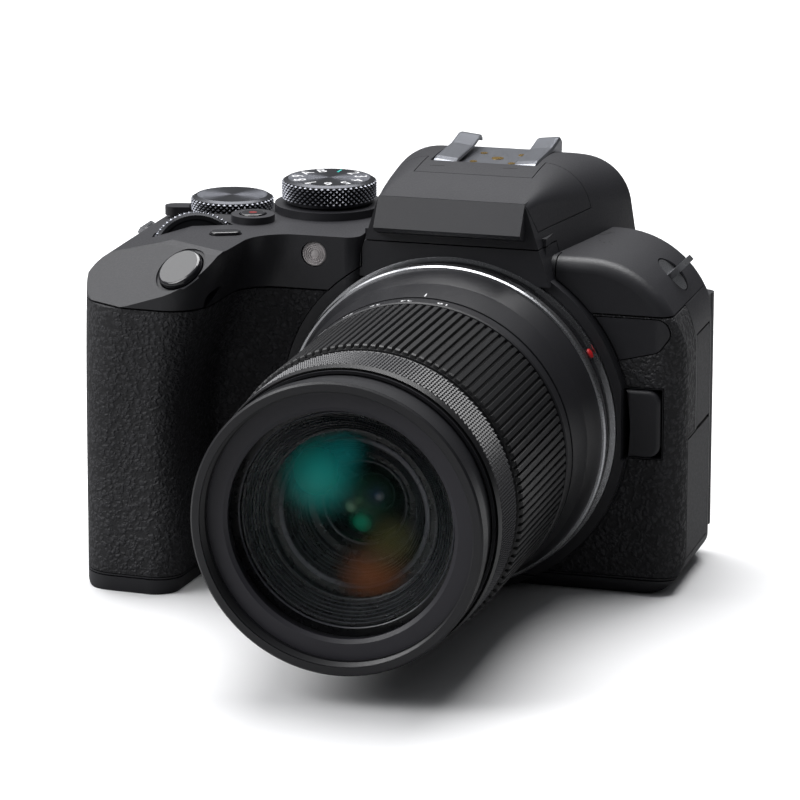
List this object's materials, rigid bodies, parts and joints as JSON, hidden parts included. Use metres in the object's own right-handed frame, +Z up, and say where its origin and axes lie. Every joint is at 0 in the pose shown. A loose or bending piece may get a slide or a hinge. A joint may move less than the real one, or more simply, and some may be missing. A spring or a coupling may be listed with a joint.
{
  "type": "dslr camera",
  "caption": "Interchangeable-lens camera with a zoom lens, deep hand grip, viewfinder hump, dials and a side-hinged screen that swings out.",
  "frame": {"origin": "centre of the tripod socket's mouth in the base plane, under the lens axis, in the plane of the image sensor", "axes": "+Z up, -Y along the lens towards the subject, +X to the right as seen from the front"},
  "size_m": [0.1246, 0.1385, 0.0878],
  "materials": {
    "body_plastic": "fine moulded grain, charcoal",
    "skin_rubber": "leather grain",
    "badge_black": "satin",
    "screw_steel": "blackened",
    "chassis_alloy": "cast",
    "socket_steel": "turned",
    "sensor_glass": "coated",
    "board_green": "solder mask",
    "inner_black": "matt",
    "eyecup_rubber": "matt",
    "clear_glass": "coated",
    "shoe_steel": "satin",
    "contact_brass": "polished",
    "lamp_clear": "clear with rings",
    "lens_black": "fine satin",
    "lens_silver": "turned, satin",
    "name_ring_grey": "satin",
    "zoom_rubber": "fine axial ribs",
    "dial_metal": "knurled rim, spun top",
    "lever_plastic": "satin",
    "button_gloss": "gloss",
    "key_plastic": "satin",
    "screen_plastic": "fine grain",
    "screen_glass": "black glass"
  },
  "bodies": {
    "camera_body": {"top_cover": "body_plastic", "front_cover": "body_plastic", "rear_cover": "body_plastic", "bottom_cover": "body_plastic", "grip_rubber": "skin_rubber", "side_leatherette": "skin_rubber", "thumb_rest": "skin_rubber", "badge_plate": "badge_black", "case_screws": "screw_steel", "chassis": "chassis_alloy", "tripod_socket": "socket_steel", "shutter_unit": "chassis_alloy", "image_sensor": "sensor_glass", "main_board": "board_green", "evf_module": "inner_black", "eyecup": "eyecup_rubber", "eyepiece_lens": "clear_glass", "battery": "inner_black", "terminal_block": "inner_black", "hot_shoe": "shoe_steel", "hot_shoe_contacts": "contact_brass", "af_lamp_lens": "lamp_clear", "strap_lugs": "shoe_steel", "body_mount_ring": "socket_steel", "lens_mount_bayonet": "socket_steel", "lens_base_ring": "lens_black", "lens_trim_ring": "lens_silver", "lens_outer_barrel": "lens_black", "rear_element": "clear_glass", "lcd_hinge_pin": "screw_steel"},
    "zoom_ring": {"zoom_ring": "zoom_rubber"},
    "control_ring": {"control_ring": "lens_black"},
    "rear_tube": {"rear_tube": "lens_black"},
    "front_tube": {"front_tube": "lens_black", "name_ring": "name_ring_grey", "front_element": "clear_glass"},
    "mode_dial": {"mode_dial": "dial_metal"},
    "quick_dial": {"quick_dial": "dial_metal"},
    "power_lever": {"power_lever": "lever_plastic"},
    "main_dial": {"main_dial": "dial_metal"},
    "shutter_button": {"shutter_button": "button_gloss"},
    "mfn_button": {"mfn_button": "button_gloss"},
    "movie_button": {"movie_button": "button_gloss"},
    "flash_head": {"flash_cover": "body_plastic", "flash_head": "inner_black", "flash_window": "lamp_clear"},
    "release_button": {"release_button": "body_plastic"},
    "battery_door": {"battery_door": "body_plastic"},
    "terminal_door_upper": {"terminal_door_upper": "eyecup_rubber"},
    "terminal_door_lower": {"terminal_door_lower": "eyecup_rubber"},
    "screen": {"lcd_arm": "screen_plastic", "lcd_frame": "screen_plastic", "lcd_glass": "screen_glass"},
    "menu_button": {"menu_button": "key_plastic"},
    "info_button": {"info_button": "key_plastic"},
    "play_button": {"play_button": "key_plastic"},
    "af_on_button": {"af_on_button": "key_plastic"},
    "set_button": {"set_button": "key_plastic"},
    "cross_keys": {"cross_keys": "key_plastic"},
    "joystick": {"joystick": "key_plastic"}
  },
  "joints": [
    {"name": "zoom_turn", "type": "hinge", "parent": "camera_body", "child": "zoom_ring", "pos_m": [0, -0.06, 0.036], "axis": [0, -1, 0], "range_deg": [0, 75]},
    {"name": "control_turn", "type": "hinge", "parent": "camera_body", "child": "control_ring", "pos_m": [0, -0.088, 0.036], "axis": [0, -1, 0], "continuous": true},
    {"name": "rear_tube_slide", "type": "slide", "parent": "camera_body", "child": "rear_tube", "axis": [0, -1, 0], "range_m": [0, 0.025]},
    {"name": "front_tube_slide", "type": "slide", "parent": "rear_tube", "child": "front_tube", "axis": [0, -1, 0], "range_m": [0, 0.03]},
    {"name": "mode_dial_turn", "type": "hinge", "parent": "camera_body", "child": "mode_dial", "pos_m": [-0.033, 0.002, 0.08], "axis": [0, 0, 1], "continuous": true},
    {"name": "quick_dial_turn", "type": "hinge", "parent": "camera_body", "child": "quick_dial", "pos_m": [-0.055, 0.003, 0.077], "axis": [0, 0, 1], "continuous": true},
    {"name": "power_lever_turn", "type": "hinge", "parent": "camera_body", "child": "power_lever", "pos_m": [-0.055, 0.003, 0.075], "axis": [0, 0, 1], "range_deg": [0, 30]},
    {"name": "main_dial_turn", "type": "hinge", "parent": "camera_body", "child": "main_dial", "pos_m": [-0.0554, -0.0206, 0.0672], "axis": [0.3672, -0.865, 0.342], "continuous": true},
    {"name": "shutter_press", "type": "slide", "parent": "camera_body", "child": "shutter_button", "axis": [0.3114, 0.5449, -0.7785], "range_m": [0, 0.0012], "stiffness_N_per_m": 300},
    {"name": "mfn_press", "type": "slide", "parent": "camera_body", "child": "mfn_button", "axis": [0, 0, -1], "range_m": [0, 0.0006], "stiffness_N_per_m": 300},
    {"name": "movie_press", "type": "slide", "parent": "camera_body", "child": "movie_button", "axis": [0, 0, -1], "range_m": [0, 0.0006], "stiffness_N_per_m": 300},
    {"name": "flash_lift", "type": "hinge", "parent": "camera_body", "child": "flash_head", "pos_m": [0, 0.008, 0.0863], "axis": [-1, 0, 0], "range_deg": [0, 55]},
    {"name": "release_press", "type": "slide", "parent": "camera_body", "child": "release_button", "axis": [0, 1, 0], "range_m": [0, 0.0022], "stiffness_N_per_m": 300},
    {"name": "battery_door_swing", "type": "hinge", "parent": "camera_body", "child": "battery_door", "pos_m": [-0.0556, -0.02, 0], "axis": [0, -1, 0], "range_deg": [0, 95]},
    {"name": "upper_door_swing", "type": "hinge", "parent": "camera_body", "child": "terminal_door_upper", "pos_m": [0.0482, -0.0014, 0.0432], "axis": [0, 0, -1], "range_deg": [0, 100]},
    {"name": "lower_door_swing", "type": "hinge", "parent": "camera_body", "child": "terminal_door_lower", "pos_m": [0.0482, -0.0096, 0.0199], "axis": [0, 0, -1], "range_deg": [0, 100]},
    {"name": "screen_swing", "type": "hinge", "parent": "camera_body", "child": "screen", "pos_m": [0.0447, 0.0196, 0.032], "axis": [0, 0, -1], "range_deg": [0, 175]},
    {"name": "menu_press", "type": "slide", "parent": "camera_body", "child": "menu_button", "axis": [0, -1, 0], "range_m": [0, 0.0006], "stiffness_N_per_m": 300},
    {"name": "info_press", "type": "slide", "parent": "camera_body", "child": "info_button", "axis": [0, -1, 0], "range_m": [0, 0.0006], "stiffness_N_per_m": 300},
    {"name": "play_press", "type": "slide", "parent": "camera_body", "child": "play_button", "axis": [0, -1, 0], "range_m": [0, 0.0006], "stiffness_N_per_m": 300},
    {"name": "af_on_press", "type": "slide", "parent": "camera_body", "child": "af_on_button", "axis": [0, -1, 0], "range_m": [0, 0.0006], "stiffness_N_per_m": 300},
    {"name": "set_press", "type": "slide", "parent": "camera_body", "child": "set_button", "axis": [0, -1, 0], "range_m": [0, 0.0006], "stiffness_N_per_m": 300},
    {"name": "cross_keys_rock", "type": "hinge", "parent": "camera_body", "child": "cross_keys", "pos_m": [-0.0525, 0.0184, 0.024], "axis": [1, 0, 0], "range_deg": [-3, 3], "stiffness_Nm_per_rad": 0.02},
    {"name": "joystick_tilt", "type": "hinge", "parent": "camera_body", "child": "joystick", "pos_m": [-0.048, 0.0167, 0.051], "axis": [1, 0, 0], "range_deg": [-8, 8], "stiffness_Nm_per_rad": 0.01}
  ],
  "couplings": [
    {"joint": "rear_tube_slide", "follows": "zoom_turn", "m_per_rad": 0.019},
    {"joint": "front_tube_slide", "follows": "zoom_turn", "m_per_rad": 0.0229}
  ]
}
